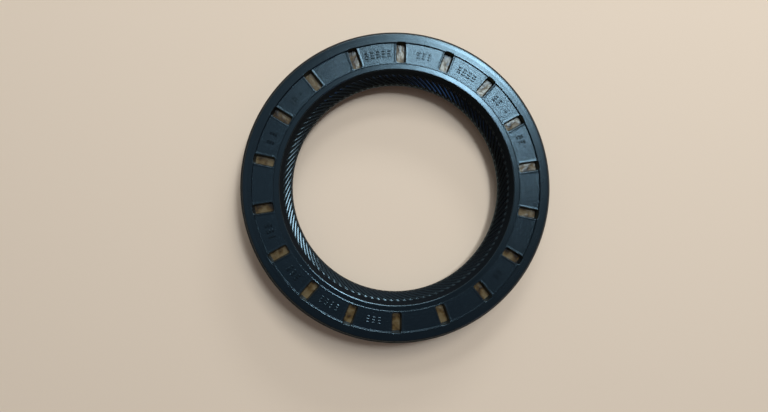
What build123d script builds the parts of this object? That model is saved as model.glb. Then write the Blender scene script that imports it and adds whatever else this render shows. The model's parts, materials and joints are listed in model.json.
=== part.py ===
from build123d import *
import math
import os

# Radial shaft seal with a rubber-covered case, a garter spring and helical ribs on its lip.
# Millimetres. The seal's axis is +Z; z = 0 is the oil-side end and the air-side face is on top.
# Section points are (radius, height).

# ---- What the seal fits
shaft_diameter = 55.0
housing_diameter = 78.0
seal_width = 10.0
press_allowance = 0.125        # the cover stands this far outside the housing bore, all round
lip_allowance = 0.65           # the free lip stands this far inside the shaft, all round

# ---- Cover
air_chamfer_height = 1.1
air_chamfer_depth = 0.75
oil_chamfer_height = 1.6
oil_chamfer_depth = 0.8
rim_corner_radius = 0.4

# ---- Air-side face: rim, recessed pads, inner collar
rim_width = 2.95
pad_recess = 0.4
collar_drop = 0.15             # the collar round the bore lies this far under the pads
collar_width = 1.36
bore_edge_radius = 0.3

# ---- Windows through the pads, open to the case
window_count = 18
first_window_angle = 10.0
window_draft = 15.0
window_floor_width = 1.8
window_corner_radius = 0.25    # at the floor
window_outer_gap = 0.2         # from the rim's step outwards in to the window's floor
window_inner_gap = 0.6         # from the pads' inner edge out to the window's floor

# ---- Case
case_thickness = 1.0
cover_thickness = 1.225        # rubber between the case and the housing
face_cover = 1.2               # rubber between the case and the pads
case_bend_radius = 1.3         # outside
end_wrap = 0.8                 # rubber under the case's oil-side end
case_lap = 1.5                 # how far the rubber laps under the flange
lap_thickness = 0.45
lap_corner_radius = 0.2
case_bore_gap = 1.3            # rubber between the bore's edge and the flange's inner end

# ---- Lip and membrane
lip_drop = 6.25                # from the air-side face to the middle of the sealing edge
lip_land = 0.3                 # length of the sealing edge's cylinder
air_angle = 26.7               # between the lip's air-side cone and the axis
oil_angle = 45.0               # between the lip's oil-side cone and the axis
membrane_thickness = 1.2
lip_wall = 0.95                # rubber between the spring groove and the lip's edge radius
lip_head_height = 1.3          # from the sealing edge down to the lip's oil-side end
nose_grip = 0.2                # how far the groove wraps past the spring's middle
head_corner_radius = 0.3
membrane_root_radius = 0.8

# ---- Garter spring
spring_section_radius = 0.85
spring_offset = 0.35           # the spring lies this far to the air side of the sealing edge
spring_clearance = 0.03

# ---- Helical ribs on the air-side cone
rib_count = 108
rib_helix_angle = 38.0         # between a rib and the circle round the bore
rib_height = 0.25
rib_base_width = 0.8
rib_top_width = 0.4
rib_start_gap = 1.7            # from the bore's edge down the axis to the ribs' tips
rib_end_gap = 0.2              # from the sealing edge's cylinder up to the ribs' ends
rib_tip_length = 0.5           # axial length over which a rib rises at its tip
rib_run_out = 0.8              # axial length over which a rib sinks to nothing at the lip
rib_root = 0.12                # how deep a rib's foot is sunk in the cone
rib_end_sink = 0.06            # how far under the cone a rib's crown starts and ends

# ---- Places that follow from the sizes
cover_radius = housing_diameter / 2 + press_allowance
lip_radius = shaft_diameter / 2 - lip_allowance
step_radius = cover_radius - rim_width
pad_height = seal_width - pad_recess
collar_height = pad_height - collar_drop
lip_height = seal_width - lip_drop
air_slope = math.tan(math.radians(air_angle))
oil_slope = math.tan(math.radians(oil_angle))


def cone_radius(height):
    """Radius of the lip's air-side cone at a height."""
    return lip_radius + (height - lip_height - lip_land / 2) * air_slope


bore_edge = cone_radius(collar_height)
pad_inner_radius = bore_edge + collar_width
case_outer_radius = cover_radius - cover_thickness
case_inner_radius = case_outer_radius - case_thickness
flange_top = pad_height - face_cover
flange_bottom = flange_top - case_thickness
flange_bore_radius = bore_edge + case_bore_gap
spring_height = lip_height + spring_offset
groove_radius = spring_section_radius + spring_clearance
spring_ring_radius = lip_radius + lip_wall + groove_radius
head_radius = spring_ring_radius + nose_grip
head_bottom = lip_height - lip_land / 2 - lip_head_height


def revolved(section):
    """The solid that a section in the radius-height plane sweeps round the axis."""
    return revolve(section, axis=Axis.Z)


def case_section():
    """L-section of the pressed case: a leg along the housing and a flange under the face."""
    with BuildSketch(Plane.XZ) as sketch:
        with BuildLine():
            FilletPolyline(
                (case_inner_radius, end_wrap),
                (case_outer_radius, end_wrap),
                (case_outer_radius, flange_top),
                (flange_bore_radius, flange_top),
                (flange_bore_radius, flange_bottom),
                (case_inner_radius, flange_bottom),
                radius=[0, 0, case_bend_radius, 0, 0, case_bend_radius - case_thickness],
                close=True,
            )
        make_face()
    return sketch.sketch


def rubber_section():
    """Full section of the moulding, with the case's and the spring's room taken out."""
    back = membrane_thickness / math.cos(math.radians(air_angle))
    lap_bottom = flange_bottom - lap_thickness
    lap_radius = flange_bore_radius + case_lap
    leg_middle = case_outer_radius - case_thickness / 2
    flange_middle = flange_top - case_thickness / 2
    shoulder = lip_height + lip_land / 2 + (head_radius - back - lip_radius) / air_slope
    outline = [
        ((lip_radius, lip_height - lip_land / 2), 0),
        ((lip_radius, lip_height + lip_land / 2), 0),
        ((bore_edge, collar_height), bore_edge_radius),
        ((pad_inner_radius, collar_height), 0),
        ((pad_inner_radius, pad_height), 0),
        ((step_radius, pad_height), 0),
        ((step_radius, seal_width), 0),
        ((cover_radius - air_chamfer_depth, seal_width), rim_corner_radius),
        ((cover_radius, seal_width - air_chamfer_height), rim_corner_radius),
        ((cover_radius, oil_chamfer_height), rim_corner_radius),
        ((cover_radius - oil_chamfer_depth, 0), 0),
        ((case_inner_radius, 0), 0),
        ((case_inner_radius, end_wrap), 0),
        ((leg_middle, end_wrap), 0),
        ((leg_middle, flange_middle), 0),
        ((lap_radius, flange_middle), 0),
        ((lap_radius, lap_bottom), lap_corner_radius),
        ((cone_radius(lap_bottom) + back, lap_bottom), membrane_root_radius),
        ((head_radius, shoulder), head_corner_radius),
        ((head_radius, head_bottom), head_corner_radius),
        ((lip_radius + lip_head_height * oil_slope, head_bottom), 0),
    ]
    with BuildSketch(Plane.XZ) as sketch:
        with BuildLine():
            points, corner_radii = zip(*outline)
            FilletPolyline(*points, radius=list(corner_radii), close=True)
        make_face()
        with Locations((spring_ring_radius, spring_height)):
            Circle(groove_radius, mode=Mode.SUBTRACT)
        add(case_section(), mode=Mode.SUBTRACT)
    return sketch.sketch


def cone_point(height, angle):
    """Point of the lip's air-side cone."""
    radius = cone_radius(height)
    return Vector(radius * math.cos(angle), radius * math.sin(angle), height)


def rib():
    """One rib, from the angle of the first window: a flat-topped bar laid in the cone, sloped at its ends."""
    air = math.radians(air_angle)
    tip_height = collar_height - rib_start_gap
    end_height = lip_height + lip_land / 2 + rib_end_gap
    spiral = math.tan(math.radians(rib_helix_angle)) * math.sin(air)
    turn = math.log(cone_radius(tip_height) / cone_radius(end_height)) / spiral
    first = math.radians(first_window_angle)
    tip = cone_point(tip_height, first)
    end = cone_point(end_height, first - turn)
    # The bar is straight, so half of its rise over the cone's hollow is taken off.
    middle = (tip + end) / 2
    hollow = cone_radius(middle.Z) - math.hypot(middle.X, middle.Y)
    outwards = Vector(math.cos(first - turn / 2), math.sin(first - turn / 2), 0)
    normal = Vector(0, 0, math.sin(air)) - outwards * math.cos(air)
    along = (end - tip).normalized()
    across = normal.cross(along).normalized()
    start = tip - normal * hollow * math.cos(air) / 2
    length = (end - tip).length
    with BuildPart() as bar:
        with BuildSketch(Plane(origin=start, x_dir=along, z_dir=-across)):
            Polygon(
                (0, -rib_root),
                (0, -rib_end_sink),
                (rib_tip_length, rib_height),
                (length - rib_run_out, rib_height),
                (length, -rib_end_sink),
                (length, -rib_root),
                align=None,
            )
        extrude(amount=rib_base_width, both=True)
        with BuildSketch(Plane(origin=start, x_dir=across, z_dir=along)):
            Polygon(
                (-rib_base_width / 2, -rib_root),
                (rib_base_width / 2, -rib_root),
                (rib_top_width / 2, rib_height),
                (-rib_top_width / 2, rib_height),
                align=None,
            )
        extrude(amount=length, mode=Mode.INTERSECT)
    return bar.part.solid()


def window_cutter():
    """Drafted pocket of one window, from the flange's top up to the rim's level, at the first angle."""
    floor_start = pad_inner_radius + window_inner_gap
    floor_end = step_radius - window_outer_gap
    with BuildPart() as pocket:
        with BuildSketch(Plane.XY.offset(flange_top)):
            with Locations(((floor_start + floor_end) / 2, 0)):
                RectangleRounded(floor_end - floor_start, window_floor_width, window_corner_radius)
        extrude(amount=seal_width - flange_top, taper=-window_draft)
    return pocket.part.solid().rotate(Axis.Z, first_window_angle)


def turned_copies(solid, count):
    """Copies of a solid spaced evenly round the axis."""
    return [solid.rotate(Axis.Z, 360 / count * index) for index in range(count)]


def rubber_body():
    """The whole elastomer moulding."""
    plain = revolved(rubber_section())
    ribbed = plain.fuse(*turned_copies(rib(), rib_count))
    return ribbed.cut(*turned_copies(window_cutter(), window_count))


def metal_case():
    """The bonded steel case."""
    return revolved(case_section())


def garter_spring():
    """Envelope of the wound spring: a ring as thick as its coils."""
    with BuildSketch(Plane.XZ) as sketch:
        with Locations((spring_ring_radius, spring_height)):
            Circle(spring_section_radius)
    return revolved(sketch.sketch)


os.makedirs("parts", exist_ok=True)
for name, solid in {
    "rubber_body": rubber_body(),
    "metal_case": metal_case(),
    "garter_spring": garter_spring(),
}.items():
    export_step(solid, f"parts/{name}.step")
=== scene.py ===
"""Radial shaft seal: the rubber moulding, its marks, the coated case and the wound garter spring.

Laid out as an add-on and run as a script. Mesh code counts in millimetres, Blender in metres.
The seal's axis is +Z and its air side faces up.
"""

import json
import math
from types import SimpleNamespace

import bpy
from bpy.props import FloatProperty, FloatVectorProperty, IntProperty, PointerProperty
from bpy.types import Operator, Panel, PropertyGroup
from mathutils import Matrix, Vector
from mathutils.geometry import delaunay_2d_cdt

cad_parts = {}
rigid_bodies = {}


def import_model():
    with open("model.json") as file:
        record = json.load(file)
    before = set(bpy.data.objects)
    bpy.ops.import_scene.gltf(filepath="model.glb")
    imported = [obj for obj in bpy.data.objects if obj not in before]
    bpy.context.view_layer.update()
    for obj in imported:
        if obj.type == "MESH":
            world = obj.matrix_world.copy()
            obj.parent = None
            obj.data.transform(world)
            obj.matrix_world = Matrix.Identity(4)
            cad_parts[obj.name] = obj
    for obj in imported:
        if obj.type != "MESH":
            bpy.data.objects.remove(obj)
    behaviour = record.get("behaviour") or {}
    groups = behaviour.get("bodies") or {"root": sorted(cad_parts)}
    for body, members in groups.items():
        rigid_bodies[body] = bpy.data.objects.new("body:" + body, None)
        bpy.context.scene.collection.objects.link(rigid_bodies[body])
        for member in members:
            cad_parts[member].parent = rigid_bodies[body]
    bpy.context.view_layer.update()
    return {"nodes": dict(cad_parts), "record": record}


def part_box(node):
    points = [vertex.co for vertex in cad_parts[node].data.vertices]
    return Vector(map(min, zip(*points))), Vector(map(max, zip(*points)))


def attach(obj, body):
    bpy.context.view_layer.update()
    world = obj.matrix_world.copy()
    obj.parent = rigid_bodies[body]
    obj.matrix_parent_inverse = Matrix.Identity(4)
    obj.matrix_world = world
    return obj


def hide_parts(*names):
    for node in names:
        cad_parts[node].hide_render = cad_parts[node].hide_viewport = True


bl_info = {
    "name": "Radial shaft seal",
    "version": (1, 0, 0),
    "blender": (4, 5, 0),
    "location": "3D View > Sidebar > Seal",
    "description": "Builds the visible pieces of a rubber-covered rotary shaft seal",
    "category": "Add Mesh",
}

# Blender's start-up objects go before the solids come in.
for leftover in list(bpy.data.objects):
    bpy.data.objects.remove(leftover)
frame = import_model()

MM = 0.001
BODY = "root"

# Finishes of the moulding's skin. Each face of its mesh holds the number of its finish.
FINISHES = ("Satin", "Grained", "Matt", "Polished", "Fine-grained")
SATIN, GRAINED, MATT, POLISHED, FINE_GRAINED = range(5)

# ---- Fineness of the meshes
RING_COLUMNS = 20                   # columns of a turned surface from one window to the next
ARC_STEP = math.radians(26)         # most that a rounding turns from one point to the next
TIP_STEPS = 4                       # rings of points down a rib's tip
EVEN_STEPS = 4                      # down its even part
RUN_OUT_STEPS = 6                   # down its run-out
SHARP_ANGLE = math.radians(42)      # edges that bend more stay crisp
MERGE_DISTANCE = 0.0008             # mm, between points that become one where two sectors meet
TINY = 0.0001                       # mm, for telling whether a point is on a line

# ---- Where the parts of the moulding's mesh meet, in mm
FACE_START = 0.09                   # outside the pads' inner edge
FACE_END = 0.5                      # outside the step
RIBS_START = 0.42                   # above the ribs' tips
RIBS_END = 0.1                      # above the sealing edge
RIB_MARGIN = 0.05                   # plain cone next to both ends of the ribs
CHAMFER_END = 0.2                   # below the rim, where the chamfer's finish ends

# ---- Marks on the pads, from the first window anticlockwise
SHAPES = ("Bar", "Dash", "Dot")
PAD_MARKS = (
    "= =   .", "= =   -", "= = = =", "= = =", "= = = = =", "", "||| .", "=  =", "",
    "| = =", "= = =", "= = = =", "= = =", "", "", "= =", "", "|.",
)
# Shape, place along the pad's radius in stroke gaps, and turn in degrees of each stroke of a sign.
STROKES = {
    "=": (("Dash", -1, 90), ("Dash", 0, 90), ("Dash", 1, 90)),
    "-": (("Dash", 0, 90),),
    "|": (("Bar", 0, 0),),
    ".": (("Dot", 0, 0),),
}

# ---- The soft lights: what each is, its azimuth from +X and its lean from overhead in degrees, its width
# and height in mm, what it adds on a level white surface, and its colour
LIGHTS = {
    "lamp": ("Soft lamp", 50, 23, 110, 130, 0.3, "#EAF3FF"),
    "window": ("Window", 62, 35, 240, 220, 0.24, "#FFFFFF"),
    "low": ("Low light", 72, 67, 350, 110, 0.105, "#F4F8FF"),
    "side": ("Side light", 93, 48, 240, 110, 0.12, "#F4F8FF"),
    "sky": ("Bit of blue sky", -50, 66, 200, 150, 0.008, "#8CB4FF"),
    "glow": ("Ceiling's glow", 160, 15, 350, 350, 0.013, "#E4F0FF"),
}

# ---- The even light
FILL_DIRECTION = (0, 0.5, 0.87)     # the middle of the far side's light
FILL_SPAN = (0.2, 0.9)              # agreement with that direction where the light begins and is whole
BLUR = 0.1                          # half the width of a soft border, as a difference of cosines


# ---------------------------------------------------------------- colours and properties


def linear(hex_colour):
    """An sRGB hex colour as linear red, green and blue."""
    channels = [int(hex_colour[place:place + 2], 16) / 255 for place in (1, 3, 5)]
    return tuple(c / 12.92 if c <= 0.04045 else ((c + 0.055) / 1.055) ** 2.4 for c in channels)


def length(name, description, millimetres):
    """A length property. Its default is given in millimetres and kept in metres."""
    return FloatProperty(
        name=name, description=description, default=millimetres * MM, min=0.0,
        precision=5, unit="LENGTH", subtype="DISTANCE",
    )


def angle(name, description, degrees):
    """An angle property, with its default given in degrees."""
    return FloatProperty(
        name=name, description=description, default=math.radians(degrees),
        unit="ROTATION", subtype="ANGLE",
    )


def colour(name, description, hex_colour):
    """A colour property."""
    return FloatVectorProperty(
        name=name, description=description, default=linear(hex_colour),
        size=3, min=0.0, max=1.0, subtype="COLOR",
    )


def share(name, description, value):
    """A light's share property: 1 shows a level surface in its own written colour."""
    return FloatProperty(name=name, description=description, default=value, min=0.0)


class SEAL_PG_section(PropertyGroup):
    """Sizes of the moulding's section"""

    rim_width: length("Rim width", "From the cover's outside to the step down to the pads", 2.95)
    rim_band: length("Rim band", "Width of the rim's fine-grained band beside the step", 1.2)
    pad_recess: length("Pad recess", "How far the pads lie under the rim", 0.4)
    step_draft: length("Step draft", "How far the step leans back over its height", 0.12)
    collar_drop: length("Collar drop", "How far the collar lies under the pads", 0.15)
    collar_width: length("Collar width", "From the bore's edge to the pads", 1.36)
    air_chamfer_height: length("Air chamfer height", "Along the axis", 1.1)
    air_chamfer_depth: length("Air chamfer depth", "Along the face", 0.75)
    oil_chamfer_height: length("Oil chamfer height", "Along the axis", 1.6)
    oil_chamfer_depth: length("Oil chamfer depth", "Along the end", 0.8)
    rim_corner: length("Rim corners", "Rounding of the cover's corners", 0.4)
    bore_corner: length("Bore edge", "Rounding of the edge from the collar into the bore", 0.3)
    small_corner: length("Small corners", "Rounding of the steps between rim, pads and collar", 0.08)
    case_bend: length("Case bend", "Outer bend radius of the case under the rubber", 1.3)
    end_wrap: length("End wrap", "Rubber under the case's oil-side end", 0.8)
    case_lap: length("Lap", "How far the rubber laps under the case's flange", 1.5)
    lap_thickness: length("Lap thickness", "Rubber under the case's flange", 0.45)
    lap_corner: length("Lap corner", "Rounding of the lap's end", 0.2)
    flange_thickness: length("Flange thickness", "Steel between the face and the lap", 1.0)
    case_bore_gap: length("Case bore gap", "Rubber from the bore's edge out to the flange", 1.3)


class SEAL_PG_lip(PropertyGroup):
    """Sizes of the lip and membrane"""

    air_angle: angle("Air angle", "Between the lip's air-side cone and the axis", 26.7)
    oil_angle: angle("Oil angle", "Between the lip's oil-side cone and the axis", 45.0)
    land: length("Land", "Length of the sealing edge", 0.3)
    edge_wear: length("Edge rounding", "Rounding of the sealing edge's two corners", 0.06)
    head_height: length("Head height", "From the sealing edge to the lip's end", 1.3)
    head_corner: length("Head corner", "Rounding of the lip's head", 0.3)
    nose_grip: length("Nose grip", "How far the groove wraps past the spring's middle", 0.2)
    membrane_thickness: length("Membrane", "Thickness of the flexing wall", 1.2)
    root_corner: length("Membrane root", "Rounding where the membrane meets the lap", 0.8)
    spring_clearance: length("Spring clearance", "Between the spring and its groove", 0.03)


class SEAL_PG_windows(PropertyGroup):
    """Windows through the pads, left by the pins that hold the case in the mould"""

    count: IntProperty(name="Windows", description="Number round the face", default=18, min=3)
    first_angle: angle("First window", "Angle from +X to the first window", 10.0)
    draft: angle("Draft", "Lean of the window's walls", 15.0)
    floor_width: length("Floor width", "Across the window at the case", 1.8)
    floor_corner: length("Floor corner", "Corner radius at the case", 0.25)
    outer_gap: length("Outer gap", "From the step in to the window's floor", 0.2)
    inner_gap: length("Inner gap", "From the pads' inner edge out to the floor", 0.6)
    edge_rounding: length("Edge rounding", "Rounding of the window's upper edge", 0.1)
    ridge_height: length("Ridge height", "How far the pads rise at the window's sides", 0.05)
    ridge_width: length("Ridge width", "Over which the pads rise", 0.5)


class SEAL_PG_ribs(PropertyGroup):
    """Helical pumping ribs on the lip's air-side cone"""

    count: IntProperty(name="Ribs", description="Number round the bore", default=108, min=18)
    helix_angle: angle("Helix angle", "Between a rib and the circle round the bore", 38.0)
    height: length("Height", "How far a rib stands off the cone", 0.25)
    foot_width: length("Foot width", "Across a rib at the cone", 0.72)
    crown_width: length("Crown width", "Across the top of a rib", 0.3)
    shoulder_width: length("Shoulder width", "Across a rib where its sides grow steeper", 0.36)
    shoulder_height: length("Shoulder height", "How far off the cone the sides grow steeper", 0.17)
    corner: length("Corners", "Rounding of a rib's foot and crown", 0.07)
    start_gap: length("Start gap", "From the collar down the axis to the ribs' tips", 1.7)
    end_gap: length("End gap", "From the sealing edge up to the ribs' ends", 0.2)
    tip_length: length("Tip length", "Down the cone, over which a rib rises at its tip", 0.47)
    run_out: length("Run-out", "Along the axis, over which a rib sinks at the lip", 0.8)


class SEAL_PG_marks(PropertyGroup):
    """Plain raised marks on the pads"""

    bar_length: length("Bar length", "Along a bar", 1.8)
    dash_length: length("Dash length", "Along a dash", 0.95)
    dot_length: length("Dot size", "Across a dot", 0.5)
    width: length("Width", "Across a bar or dash", 0.38)
    height: length("Height", "How far a mark stands off the pad", 0.17)
    slope_width: length("Slope width", "Over which a mark rises", 0.15)
    sunk: length("Sunk", "How far a mark reaches into the pad", 0.05)
    spacing: length("Spacing", "From one sign to the next", 0.71)
    stroke_gap: length("Stroke gap", "From one dash to the next in a sign", 0.68)
    middle: length("Middle", "Radius of the row of marks", 33.55)


class SEAL_PG_spring(PropertyGroup):
    """Closed-wound garter spring"""

    section: length("Coil diameter", "Outside diameter of the coils", 1.7)
    wire: length("Wire diameter", "Thickness of the wire", 0.35)
    turns: IntProperty(name="Turns", description="Coils round the whole ring", default=500, min=50)
    steps: IntProperty(name="Steps", description="Points along one coil", default=10, min=6)
    sides: IntProperty(name="Sides", description="Sides of the wire", default=6, min=4)


class SEAL_PG_colours(PropertyGroup):
    """Colours of the materials"""

    rubber: colour("Rubber", "Carbon-black nitrile rubber", "#070C12")
    rubber_bloom: colour("Rubber bloom", "Dry bloom in the grain of the pads", "#0B141C")
    rubber_gloss: colour("Rubber gloss", "Tint of the rubber's reflection", "#C2EDFF")
    coat_light: colour("Coat, thin", "Bonding coat where it is thin", "#6B5C3E")
    coat_middle: colour("Coat", "Bonding coat over phosphated steel", "#54411F")
    coat_dark: colour("Coat, thick", "Bonding coat where it has run together", "#33230E")
    coat_gloss: colour("Coat gloss", "Tint of the lacquer's reflection", "#C8EEFF")
    wire: colour("Spring wire", "Drawn spring wire", "#9A9C9E")
    floor: colour("Floor", "Pale matt board under the seal", "#E0D0BA")
    backdrop: colour("Backdrop", "What shows past the floor", "#D6CBBB")


class SEAL_PG_stage(PropertyGroup):
    """Camera, lights and floor"""

    camera_place: FloatVectorProperty(
        name="Camera", description="Place of the camera", size=3,
        default=(-13.26 * MM, -6.36 * MM, 133.97 * MM), unit="LENGTH", subtype="XYZ",
    )
    camera_turn: FloatVectorProperty(
        name="Camera turn", description="Turn of the camera from looking straight down", size=3,
        default=(math.radians(0.66), math.radians(-4.43), math.radians(0.95)), subtype="EULER",
    )
    lens: FloatProperty(name="Lens", description="Focal length in mm on a 36 mm frame", default=23.44)
    floor_size: length("Floor size", "Edge of the square floor", 3000)
    light_distance: length("Light distance", "From the seal to each light", 700)
    fill: share("Fill", "Strength of the even light from the far side, +Y", 0.48)
    fill_colour: colour("Fill colour", "Even light from the far side", "#FFFFFF")
    behind: share("Behind", "Strength of the even light from the near side, -Y", 0.2)
    behind_low: share("Behind, low", "The same near the horizon", 0.03)
    behind_edge: angle("Behind edge", "How far from overhead the near side grows weaker", 50)
    behind_colour: colour("Behind colour", "Even warm light from the near side", "#FF9E50")
    overhead: share("Overhead", "Strength of the even light from straight above", 0.08)
    overhead_colour: colour("Overhead colour", "Even light from straight above", "#E4F0FF")
    overhead_edge: angle("Overhead edge", "How far from overhead the even light is weaker", 32)


def light_properties():
    """The properties of the soft lights, by name."""
    found = {}
    for key, (label, azimuth, tilt, width, height, level, hex_colour) in LIGHTS.items():
        found.update({
            f"{key}_azimuth": angle(f"{label}, azimuth", "Direction of the light, from +X", azimuth),
            f"{key}_tilt": angle(f"{label}, tilt", "Lean of the light from overhead", tilt),
            f"{key}_width": length(f"{label}, width", "Across the light", width),
            f"{key}_height": length(f"{label}, height", "Height of the light", height),
            f"{key}_share": share(f"{label}, share", "What it adds on a level white surface", level),
            f"{key}_colour": colour(f"{label}, colour", "Colour of the light", hex_colour),
        })
    return found


SEAL_PG_stage.__annotations__.update(light_properties())

GROUPS = {
    "seal_section": SEAL_PG_section,
    "seal_lip": SEAL_PG_lip,
    "seal_windows": SEAL_PG_windows,
    "seal_ribs": SEAL_PG_ribs,
    "seal_marks": SEAL_PG_marks,
    "seal_spring": SEAL_PG_spring,
    "seal_colours": SEAL_PG_colours,
    "seal_stage": SEAL_PG_stage,
}


def sizes(group):
    """The values of a property group, with its lengths in millimetres."""
    values = SimpleNamespace()
    for item in group.bl_rna.properties:
        if item.identifier in ("rna_type", "name"):
            continue
        value = getattr(group, item.identifier)
        if getattr(item, "unit", "NONE") == "LENGTH" and not getattr(item, "is_array", False):
            value = round(value / MM, 6)
        setattr(values, item.identifier, value)
    return values


# ---------------------------------------------------------------- the seal's places


def seal_places(scene):
    """Radii and heights of the moulding, in millimetres, from the solids and the section's sizes."""
    section = sizes(scene.seal_section)
    lip = sizes(scene.seal_lip)
    _, rubber_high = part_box("rubber_body")
    _, case_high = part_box("metal_case")
    spring_low, spring_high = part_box("garter_spring")
    bore = next(mount for mount in frame["record"]["mounts"] if mount["name"] == "lip_bore")
    spring_section = sizes(scene.seal_spring).section / 2

    at = SimpleNamespace()
    at.cover = rubber_high.x / MM
    at.face = rubber_high.z / MM
    at.lip = bore["dims"]["r_mm"]
    at.lip_height = bore["pos_m"][2] / MM
    at.step = at.cover - section.rim_width
    at.band_end = at.step + section.rim_band
    at.pad = at.face - section.pad_recess
    at.collar = at.pad - section.collar_drop
    at.land_top = at.lip_height + lip.land / 2
    at.land_bottom = at.lip_height - lip.land / 2
    at.slope = math.tan(lip.air_angle)
    at.bore_edge = at.lip + (at.collar - at.land_top) * at.slope
    at.pad_inner = at.bore_edge + section.collar_width
    at.case_outer = case_high.x / MM
    at.case_inner = at.case_outer - section.flange_thickness
    at.flange_top = case_high.z / MM
    at.flange_bottom = at.flange_top - section.flange_thickness
    at.flange_bore = at.bore_edge + section.case_bore_gap
    at.lap_bottom = at.flange_bottom - section.lap_thickness
    at.lap_end = at.flange_bore + section.case_lap
    at.spring_ring = spring_high.x / MM - spring_section
    at.spring_height = (spring_low.z + spring_high.z) / 2 / MM
    at.groove = spring_section + lip.spring_clearance
    at.head = at.spring_ring + lip.nose_grip
    at.head_bottom = at.land_bottom - lip.head_height
    at.head_inner = at.lip + lip.head_height * math.tan(lip.oil_angle)
    at.membrane_back = lip.membrane_thickness / math.cos(lip.air_angle)
    return at


def cone_radius(at, height):
    """Radius of the lip's air-side cone at a height."""
    return at.lip + (height - at.land_top) * at.slope


# ---------------------------------------------------------------- lines in the section


def clamped(value):
    """A value kept between 0 and 1."""
    return min(max(value, 0), 1)


def polar(radius, turn):
    """Point of a circle round the origin."""
    return radius * math.cos(turn), radius * math.sin(turn)


def circle(radius, turns):
    """Points of a circle round the origin, as vectors."""
    return [Vector(polar(radius, turn)) for turn in turns]


def arc(centre, radius, start, sweep):
    """Points of an arc, with its two ends."""
    steps = max(2, math.ceil(abs(sweep) / ARC_STEP))
    turns = [start + sweep * step / steps for step in range(steps + 1)]
    return [Vector((centre[0] + radius * math.cos(t), centre[1] + radius * math.sin(t))) for t in turns]


def rounded_path(corners):
    """Points of a line through corners (x, y, rounding), with each rounding as an arc."""
    points = []
    for index, (x, y, rounding) in enumerate(corners):
        corner = Vector((x, y))
        if not rounding:
            points.append(corner)
            continue
        back = (Vector(corners[index - 1][:2]) - corner).normalized()
        onward = (Vector(corners[index + 1][:2]) - corner).normalized()
        turn = math.pi - back.angle(onward)
        centre = corner + (back + onward).normalized() * rounding / math.cos(turn / 2)
        first = corner + back * rounding * math.tan(turn / 2) - centre
        sense = -1 if back.cross(onward) > 0 else 1
        points += arc(centre, rounding, math.atan2(first.y, first.x), sense * turn)
    return points


def height_on(path, radius):
    """Height of a path whose radii only grow, at a radius."""
    for before, after in zip(path, path[1:]):
        if radius <= after.x:
            progress = max(0.0, (radius - before.x) / (after.x - before.x))
            return before.y + progress * (after.y - before.y)
    return path[-1].y


def first_above(path, height):
    """Number of a path's first point above a height."""
    return next(number for number, point in enumerate(path) if point.y > height)


def spaced(start, end, steps):
    """Even steps from start up to, and without, end."""
    return [start + (end - start) * step / steps for step in range(steps)]


# ---------------------------------------------------------------- one sector of the moulding


class Sector:
    """One window's share of the moulding, with the window's middle on +X. Millimetres."""

    def __init__(self, turn):
        self.turn = turn
        self.points = []
        self.faces = []
        self.finishes = []

    def columns(self, shift=0):
        """Angles of a turned surface's columns, moved round by whole columns."""
        step = self.turn / RING_COLUMNS
        return [step * (column + shift) - self.turn / 2 for column in range(RING_COLUMNS + 1)]

    def ring(self, radius, height, angles):
        """Add the points of a ring and give their numbers."""
        start = len(self.points)
        self.points += [(*polar(radius, turn), height) for turn in angles]
        return range(start, len(self.points))

    def add(self, corners, finish):
        """Add one face with its finish."""
        self.faces.append(corners)
        self.finishes.append(finish)

    def strip(self, before, after, finishes):
        """Faces between two rings of as many points. The section runs with the rubber on its left."""
        corners = zip(before, before[1:], after[1:], after)
        for face, finish in zip(corners, finishes):
            self.add(face, finish)

    def sweep(self, path, finish):
        """Turned surface of a path in the section."""
        rings = [self.ring(point.x, point.y, self.columns()) for point in path]
        for before, after in zip(rings, rings[1:]):
            self.strip(before, after, [finish] * RING_COLUMNS)

    def bridge(self, before, before_angles, after, after_angles):
        """Faces between two rings whose points are spaced differently."""
        near, far = 0, 0
        while near < len(before) - 1 or far < len(after) - 1:
            near_left = near < len(before) - 1
            far_left = far < len(after) - 1
            if near_left and (not far_left or before_angles[near + 1] <= after_angles[far + 1]):
                self.add((before[near], before[near + 1], after[far]), MATT)
                near += 1
            else:
                self.add((before[near], after[far + 1], after[far]), MATT)
                far += 1

    def patch(self, points, triangles, finish_at=lambda radius: SATIN, upwards=True):
        """Add a patch of triangles that were found from above. Its finish depends on the radius."""
        start = len(self.points)
        self.points += points
        for triangle in triangles:
            radius = sum(math.hypot(*points[corner][:2]) for corner in triangle) / 3
            corners = triangle if upwards else reversed(triangle)
            self.add(tuple(start + corner for corner in corners), finish_at(radius))


def triangulated(flat_points, edges):
    """Points and triangles of a flat outline, with its edges kept."""
    merge = 1e-5
    triangles_of_the_hull = 0
    found = delaunay_2d_cdt(flat_points, edges, [], triangles_of_the_hull, merge, False)
    return found[0], [tuple(triangle) for triangle in found[2]]


def joined(numbers):
    """Edges along a run of point numbers."""
    return list(zip(numbers, numbers[1:]))


def add_line(points, edges, line):
    """Add a line's points and the edges along it, and give the numbers of its points."""
    start = len(points)
    points += line
    numbers = range(start, len(points))
    edges += joined(numbers)
    return numbers


def ring_triangles(flat_points, edges, window, inner, side):
    """Points and triangles of a piece of a ring, without its window and without what the hull of its
    outline adds: the triangles inside its inner edge, and slivers along its straight sides."""
    flat, triangles = triangulated(flat_points, edges)

    def belongs(triangle):
        corners = [flat[corner] for corner in triangle]
        middle = sum(corners, Vector((0, 0))) / 3
        in_window = window.distance(middle.x, middle.y) < 0
        on_inner_edge = all(corner.length < inner + TINY for corner in corners)
        turns = [abs(math.atan2(corner.y, corner.x)) for corner in corners]
        on_side = all(abs(turn - side) < TINY / inner for turn in turns)
        return not (in_window or on_inner_edge or on_side)

    return flat, [triangle for triangle in triangles if belongs(triangle)]


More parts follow.
